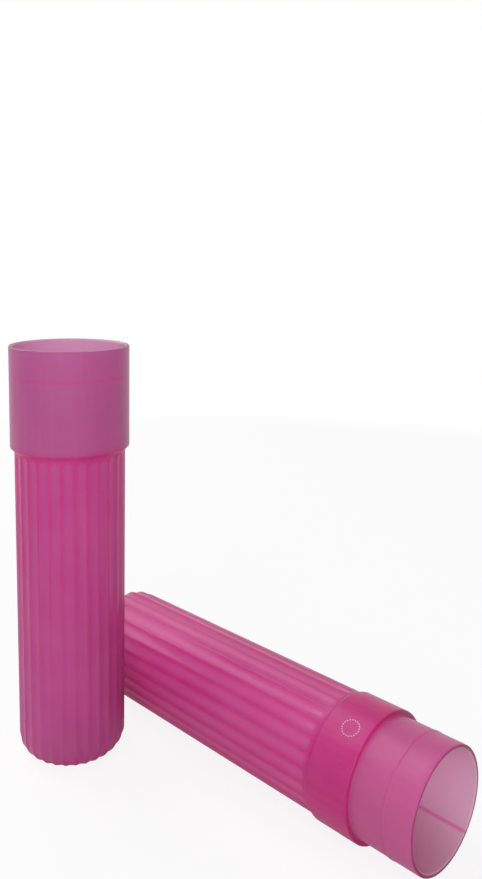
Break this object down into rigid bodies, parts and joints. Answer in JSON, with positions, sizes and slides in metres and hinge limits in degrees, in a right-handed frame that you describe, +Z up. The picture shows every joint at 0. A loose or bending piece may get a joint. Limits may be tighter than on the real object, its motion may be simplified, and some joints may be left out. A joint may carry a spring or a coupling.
{
  "type": "toothbrush holder",
  "caption": "Travel toothbrush tube in two fluted push-fit halves, one standing with its socket up, the other lying beside it.",
  "frame": {"origin": "centre of the standing half's flat base, on the surface that both halves rest on", "axes": "+Z up along the standing half's axis, +X along the lying half towards its mouth, +Y from the standing half towards the lying half"},
  "size_m": [0.1115, 0.0606, 0.1076],
  "materials": {
    "socket_half_plastic": "frosted translucent pink polypropylene",
    "spigot_half_plastic": "frosted translucent pink polypropylene"
  },
  "bodies": {
    "standing_half": {"socket_half": "socket_half_plastic"},
    "lying_half": {"spigot_half": "spigot_half_plastic"}
  },
  "joints": [
    {"name": "lying_half_pull", "type": "slide", "parent": "standing_half", "child": "lying_half", "axis": [-1, 0, 0], "range_m": [0, 0.0151]}
  ]
}
